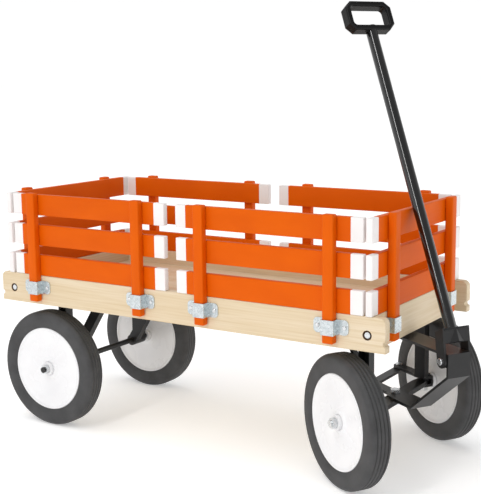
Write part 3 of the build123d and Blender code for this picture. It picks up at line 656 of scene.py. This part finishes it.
def tyre_rubber():
    """Moulded natural rubber: dark grey and dull, with a pale bloom."""
    material, tree, skin = finish_named("moulded_tyre_rubber")
    place = object_place(tree)
    bloom = noise(tree, place, 25, 7, Roughness=0.6)
    shade = blend(tree, spread(tree, bloom, source=(0.35, 0.75)), "#323233", "#484849")
    dull = spread(tree, bloom, target=(0.5, 0.75))
    # Mould grain, 1.5 mm
    mould = noise(tree, place, 650, 3)
    drive(tree, skin, shade, dull, mould, strength=0.25, deep_mm=0.2)
    return material


def tyre_shape():
    """Tyre with four tread grooves, round shoulders and a bead ridge beside the disc."""
    half = [
        (TYRE_BORE, BEAD_STEP + BEAD_CHAMFER - TYRE_HALF),
        (TYRE_BORE + BEAD_CHAMFER, BEAD_STEP - TYRE_HALF),
        (TYRE_BORE + BEAD_WIDE, BEAD_STEP - TYRE_HALF),
        (TYRE_BORE + BEAD_WIDE + BEAD_CHAMFER, -TYRE_HALF),
        (TYRE_R - SHOULDER_R, -TYRE_HALF),
    ]
    for i in range(1, SHOULDER_STEPS):
        turn = pi / 2 * i / SHOULDER_STEPS
        half.append((TYRE_R - SHOULDER_R * (1 - sin(turn)), SHOULDER_R * (1 - cos(turn)) - TYRE_HALF))
    tread = []
    for z in GROOVES:
        crown = TYRE_R if abs(z) < CROWN_HALF else TYRE_R - CROWN_DROP
        floor_r = TYRE_R - GROOVE_DEEP
        tread += [(crown, z - GROOVE_MOUTH), (floor_r, z - GROOVE_FLOOR)]
        tread += [(floor_r, z + GROOVE_FLOOR), (crown, z + GROOVE_MOUTH)]
    other_half = [(r, -z) for r, z in reversed(half)]
    return spun(half + tread + other_half, TYRE_STEPS)


fit_wheels(tyre_shape, "rubber_tyre_", tyre_rubber(), "tyre_")
print("four tyres made")

# %% [markdown]
# The discs are pressed from sheet, so they have no sharp edge anywhere: a rolled lip holds the
# tyre, the web dishes gently in, and a low round boss carries the hub. White enamel is baked
# on, glossy enough to show soft reflections of the dish. One half wheel is drawn, and its
# mirror image, scaled by minus one along the axle, makes the other disc.

# %% White enamel and discs

DISC_STEPS = 96
SHEET = 1.6
ROLLED_LIP = [(91.0, 0.0), (91.0, 17.5), (90.4, 19.4), (88.8, 20.2), (87.0, 19.6), (85.6, 18.2)]
DISHED_WEB = [(82.0, 17.2), (70.0, 15.6), (55.0, 14.2), (38.0, 13.4), (26.0, 13.2)]
RAISED_BOSS = [(23.0, 13.8), (20.5, 15.2), (18.0, 15.8), (14.0, 15.8)]
LIP_BACK = [(84.4, 17.0), (88.6, 17.0), (89.2, 0.0)]


def white_enamel():
    """Baked enamel on pressed steel: bright, smooth, a slow ripple in the gloss."""
    material, tree, skin = finish_named("baked_white_enamel")
    place = object_place(tree)
    cloud = noise(tree, place, 18, 4)
    shade = blend(tree, spread(tree, cloud, source=(0.35, 0.7)), "#EFEFF0", "#E7E7E9")
    gloss = spread(tree, cloud, target=(0.2, 0.34))
    ripple = noise(tree, place, 120, 2)
    drive(tree, skin, shade, gloss, ripple, strength=0.15, deep_mm=0.1)
    return material


white_baked = white_enamel()


def disc_shape():
    """Both pressed discs of a wheel: rolled lip, dished web and raised boss."""
    dish = DISHED_WEB + RAISED_BOSS
    dish_back = [(r, z - SHEET) for r, z in reversed(dish)]
    bm = spun(ROLLED_LIP + dish + dish_back + LIP_BACK, DISC_STEPS)
    copied = bmesh.ops.duplicate(bm, geom=bm.verts[:] + bm.edges[:] + bm.faces[:])["geom"]
    copied_verts = [item for item in copied if isinstance(item, bmesh.types.BMVert)]
    bmesh.ops.scale(bm, vec=(1, 1, -1), verts=copied_verts)
    bmesh.ops.recalc_face_normals(bm, faces=bm.faces)
    return bm


fit_wheels(disc_shape, "pressed_discs_", white_baked, "rim_")
paint_nodes(white_baked, [body.replace("wheel_", "hub_") for body in wheel_joints])
print("four pairs of discs made")

# %% [markdown]
# ## Studio
# A pale floor without an edge in sight and a white room, brightest at eye level, light every
# side evenly. A broad bank overhead whitens the floor and lifts level faces, one tall narrow
# strip draws the bright line that makes black enamel look glossy, and a low panel beyond the
# front end puts a pale sheen on the boards that face it.

# %% Floor and room

FLOOR_R, FLOOR_SIDES = 60.0, 64
FLOOR_GLOW = 0.34
EYE_LEVEL_GLOW, OVERHEAD_GLOW = 1.01, 0.4
GLOW_FADES_BETWEEN = (0.12, 0.6)

bm = bmesh.new()
bmesh.ops.create_circle(bm, cap_ends=True, segments=FLOOR_SIDES, radius=FLOOR_R)
floor_mesh = bpy.data.meshes.new("studio_floor")
bm.to_mesh(floor_mesh)
bm.free()
floor = bpy.data.objects.new("studio_floor", floor_mesh)
bpy.context.scene.collection.objects.link(floor)
floor_paint, tree, skin = finish_named("pale_studio_floor")
skin.inputs["Base Color"].default_value = colour("#F4F4F4")
skin.inputs["Roughness"].default_value = 0.9
skin.inputs["Emission Color"].default_value = colour("#FFFFFF")
skin.inputs["Emission Strength"].default_value = FLOOR_GLOW
floor_mesh.materials.append(floor_paint)

world = bpy.data.worlds.new("white_room")
world.use_nodes = True
tree = world.node_tree
room = tree.nodes["Background"]
room.inputs["Color"].default_value = colour("#FFFFFF")
look = add(tree, "TexCoord", {}).outputs["Generated"]
height = add(tree, "SeparateXYZ", {"Vector": look}).outputs["Z"]
glow = spread(tree, height, source=GLOW_FADES_BETWEEN, target=(EYE_LEVEL_GLOW, OVERHEAD_GLOW))
tree.links.new(glow, room.inputs["Strength"])
bpy.context.scene.world = world
print("floor is", 2 * FLOOR_R, "m across")

# %% [markdown]
# The lamps are aimed, so one function places a lamp and turns it to look at a point. The
# camera stands off the near front corner, three quarters of a metre up, and looks down a little.

# %% Lamps and camera


def lamp(name, kind, place, aim, power):
    """A soft lamp at a place that looks at a point."""
    data = bpy.data.lights.new(name, kind)
    data.energy = power
    made = bpy.data.objects.new(name, data)
    made.location = place
    made.rotation_euler = (Vector(aim) - Vector(place)).to_track_quat("-Z", "Y").to_euler()
    bpy.context.scene.collection.objects.link(made)
    return data


overhead = lamp("overhead_bank", "SUN", place=(-0.6, -0.5, 3.0), aim=(0, 0, 0), power=1.1)
overhead.angle = radians(60)
strip = lamp("tall_strip", "AREA", place=(0.0, -2.6, 2.5), aim=(0.5, -0.1, 0.7), power=26)
strip.shape = "RECTANGLE"
strip.size, strip.size_y = 0.26, 2.2
front_panel = lamp("front_panel", "AREA", place=(3.2, 2.4, 0.9), aim=(0.5, 0, 0.4), power=14)
front_panel.size = 2.0

VIEW_PLACE = Vector((1.1858, -1.843, 0.763))
VIEW_TURN, VIEW_DROP, VIEW_ROLL = radians(33.121), radians(9.379), radians(-0.677)
LENS_MM, SENSOR_MM = 77.3, 36
level = cos(VIEW_DROP)
back = Vector((sin(VIEW_TURN) * level, -cos(VIEW_TURN) * level, sin(VIEW_DROP)))
right = Vector((cos(VIEW_TURN), sin(VIEW_TURN), 0))
up = back.cross(right)
tilted_right = right * cos(VIEW_ROLL) + up * sin(VIEW_ROLL)
tilted_up = up * cos(VIEW_ROLL) - right * sin(VIEW_ROLL)
view_turned = Matrix((tilted_right, tilted_up, back)).transposed().to_4x4()
camera_data = bpy.data.cameras.new("catalogue_camera")
camera_data.lens = LENS_MM
camera_data.sensor_width = SENSOR_MM
camera = bpy.data.objects.new("catalogue_camera", camera_data)
camera.matrix_world = Matrix.Translation(VIEW_PLACE) @ view_turned
bpy.context.scene.collection.objects.link(camera)
bpy.context.scene.camera = camera
bpy.context.scene.view_settings.view_transform = "Standard"
print("camera looks", [round(v, 3) for v in -back])
